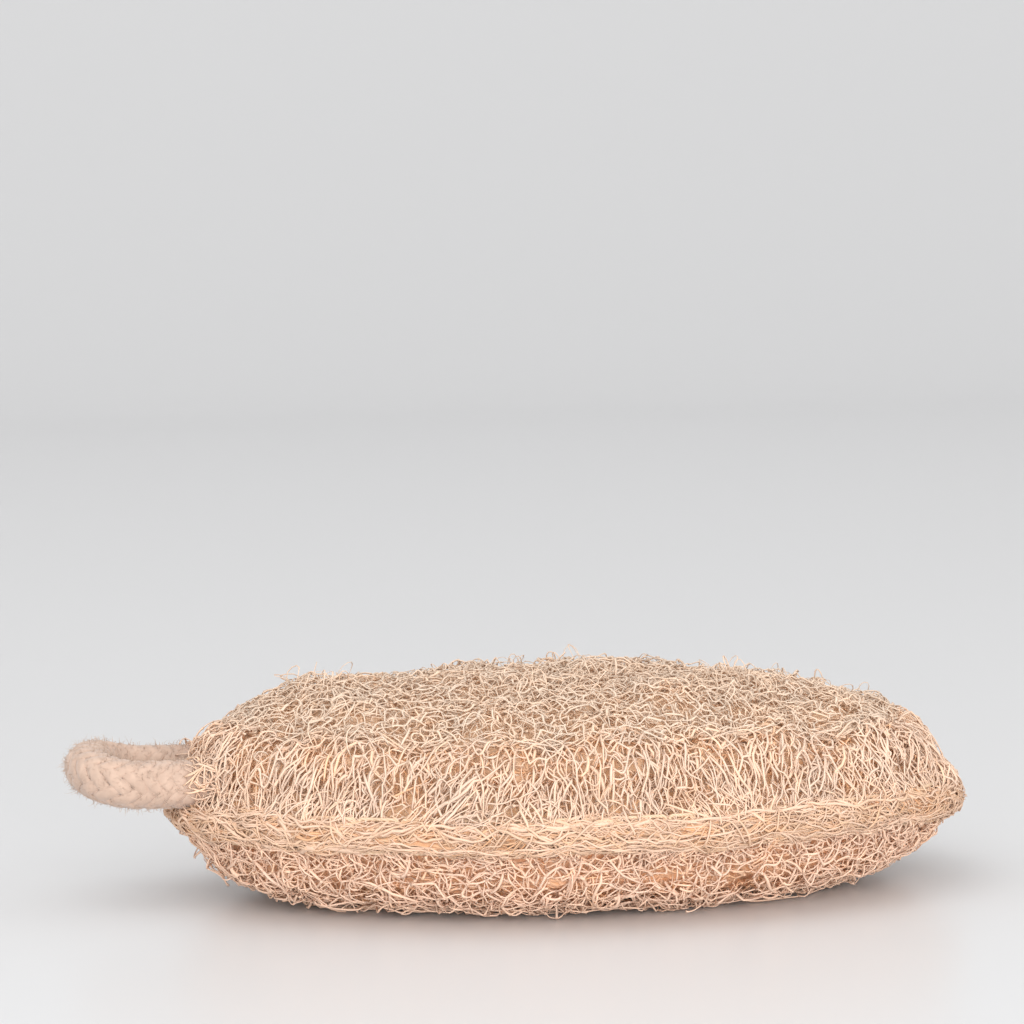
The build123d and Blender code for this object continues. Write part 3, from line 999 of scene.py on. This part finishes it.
BRAID_STRANDS = 8            # each way
BRAID_PITCH = 22.0
BRAID_RADIUS = 3.78
BRAID_WAVE = 0.18
BRAID_CORE_RADIUS = 3.5
YARN_HALF_WIDTH = 1.22
YARN_THICKNESS = 0.42        # of its width
YARN_TURN = 1.5              # length of one turn of the yarn's twist lines
YARN_LINES = 3               # twist lines side by side round a strand
CORD_STEP = 0.45             # between points along the cord's centreline
FUZZ_FOOT = 4.15             # distance from the cord's middle at which its hairs start
FUZZ_RADIUS = 0.042


def braid_angles(index, way, at):
    """Angle round the cord, and height over the strands going the other way, from -1 to 1."""
    crossings = 2 * BRAID_STRANDS * at / BRAID_PITCH
    angle = 2 * math.pi * (index / BRAID_STRANDS + way * at / BRAID_PITCH)
    phase = crossings + 2 * index - 0.5 if way > 0 else crossings - 2 * index + 2.5
    return angle, np.cos(math.pi / 2 * phase)


def braided_cord(spine, at, across, other, material):
    strands = Strands(10)
    sides = 10
    twists = []
    for way in (1, -1):
        for index in range(BRAID_STRANDS):
            angle, over = braid_angles(index, way, at)
            radial = np.cos(angle)[:, None] * across + np.sin(angle)[:, None] * other
            path = spine + (BRAID_RADIUS + BRAID_WAVE * over)[:, None] * radial
            # The strand is darker where it dips under the strands going the other way: painted shade at the
            # crossings.
            tone = 0.62 + 0.05 * over + strands.dice.normal(0, 0.04)
            strands.add(path[None], YARN_HALF_WIDTH, tone[None], radial[None], sides, YARN_THICKNESS)
            around = 2 * math.pi * np.arange(sides) / sides
            twists.append((YARN_LINES * around[None] + way * 2 * math.pi * at[:, None] / YARN_TURN).ravel())
    # The core's lower tone, 0.5, is painted shade in the crevices between the strands.
    strands.add(spine[None], BRAID_CORE_RADIUS, 0.5, across[None], sides, flat=1.0)
    twists.append(np.zeros(len(spine) * sides))
    cord = strands.object("braided_loop_cord", material, body=None)
    cord.data.attributes.new("twist", "FLOAT", "POINT").data.foreach_set("value", np.concatenate(twists))
    return cord


def cord_fuzz(spine, across, other, material, count=7000):
    """Short cotton hairs all over the braid."""
    strands = Strands(12)
    dice = strands.dice
    at = dice.integers(6, len(spine) - 6, count)
    turn = dice.uniform(0, 2 * math.pi, (count, 1))
    radial = np.cos(turn) * across[at] + np.sin(turn) * other[at]
    drift = dice.normal(0, 0.7, (count, 1, 3))
    share = np.linspace(0, 1, 5)[None, :, None]
    rise = dice.uniform(0.1, 0.55, (count, 1, 1)) * np.sin(math.pi * share)
    hair = spine[at][:, None] + radial[:, None] * (FUZZ_FOOT + rise) + drift * share
    sideways = np.cross(radial[:, None], drift) + 0 * hair
    strands.add(hair, FUZZ_RADIUS * (1.2 - share[..., 0]), 0.85, sideways, sides=3, flat=1.0)
    return strands.object("cord_fuzz", material, body=None)


cotton = twisted_material("cotton_braid", (0.53, 0.35, 0.265), (0.565, 0.422, 0.335), "twist")
fuzz_look = fibre_material("cotton_fuzz", ((0.0, (0.53, 0.395, 0.31)), (1.0, (0.60, 0.46, 0.37))))
cord_spine, cord_at = resample(cord_line(), CORD_STEP)
cord_across, cord_other = cord_axes(cord_spine)
loop_cord = braided_cord(cord_spine, cord_at, cord_across, cord_other, cotton)
loop_fuzz = cord_fuzz(cord_spine, cord_across, cord_other, fuzz_look)
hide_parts("hanging_loop_cord", "loop_tail_near", "loop_tail_far")
for piece in (loop_cord, loop_fuzz):
    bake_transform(piece)

# ---- stitches, as modelled in CAD ----
seam_thread = thread_material("sewing_thread", (0.62, 0.43, 0.28), (0.76, 0.56, 0.40))
for node in ("rim_seam_needle_thread", "rim_seam_bobbin_thread", "loop_tack_stitches"):
    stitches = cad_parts[node].data
    stitches.materials.clear()
    stitches.materials.append(seam_thread)


# ---- stage, light and camera ----
def sweep_backdrop(material):
    """A pale floor that curves up into a wall far behind."""
    front, start, radius, top, half_width = -2.5, 1.4, 0.8, 3.0, 4.0
    depth_and_height = [(front, 0.0), (start, 0.0)]
    depth_and_height += [
        (start + radius * math.sin(turn), radius - radius * math.cos(turn))
        for turn in np.linspace(0.05, math.pi / 2, 24)
    ]
    depth_and_height.append((start + radius, top))
    sides = (-half_width, half_width)
    points = [(side, depth, height) for depth, height in depth_and_height for side in sides]
    faces = [(i, i + 1, i + 3, i + 2) for i in range(0, len(points) - 2, 2)]
    mesh = bpy.data.meshes.new("floor")
    mesh.from_pydata(points, [], faces)
    mesh.shade_smooth()
    mesh.materials.append(material)
    floor = bpy.data.objects.new("floor", mesh)
    bpy.context.scene.collection.objects.link(floor)


def soft_light(name, spot, width, height, power):
    light = bpy.data.lights.new(name, "AREA")
    light.shape = "RECTANGLE"
    light.size, light.size_y = width, height
    light.energy = power
    lamp = bpy.data.objects.new(name, light)
    lamp.location = spot
    lamp.rotation_euler = (Vector((0, 0, 0.02)) - lamp.location).to_track_quat("-Z", "Y").to_euler()
    bpy.context.scene.collection.objects.link(lamp)


def photo_camera():
    """The photo's view: 9 degrees above the pad's side, 8 degrees round towards the loop's end."""
    lens = bpy.data.cameras.new("photo_camera")
    lens.lens = 140
    lens.sensor_width = 36
    camera = bpy.data.objects.new("photo_camera", lens)
    round_by, up_by, roll, distance = math.radians(-8), math.radians(9), math.radians(-0.8), 0.75
    middle_x, pivot_height, aim_height = -0.0097, 0.018, 0.0709
    level = math.cos(up_by)
    back = Vector((math.sin(round_by) * level, -math.cos(round_by) * level, math.sin(up_by)))
    camera.location = Vector((middle_x, 0, pivot_height)) + back * distance
    aim = Vector((middle_x, 0, aim_height)) - camera.location
    camera.rotation_mode = "QUATERNION"
    camera.rotation_quaternion = aim.to_track_quat("-Z", "Y") @ Quaternion((0, 0, 1), roll)
    bpy.context.scene.collection.objects.link(camera)
    bpy.context.scene.camera = camera


stage_look = Nodes("stage", 0.3)
stage_look.shader.inputs["Base Color"].default_value = (0.68, 0.68, 0.685, 1)
stage_look.shader.inputs["Specular IOR Level"].default_value = 0.35
sweep_backdrop(stage_look.material)
soft_light("key", (-0.5, -0.5, 1.3), width=1.2, height=1.2, power=3.8)
soft_light("front", (0.05, -1.1, 0.5), width=1.2, height=0.8, power=4.6)
soft_light("low", (0.0, -0.8, 0.1), width=1.0, height=0.2, power=3.8)
world = bpy.data.worlds.new("studio")
bpy.context.scene.world = world
world.use_nodes = True
world.node_tree.nodes["Background"].inputs["Color"].default_value = (1, 1, 1, 1)
world.node_tree.nodes["Background"].inputs["Strength"].default_value = 1.02
bpy.context.scene.view_settings.view_transform = "Standard"
photo_camera()
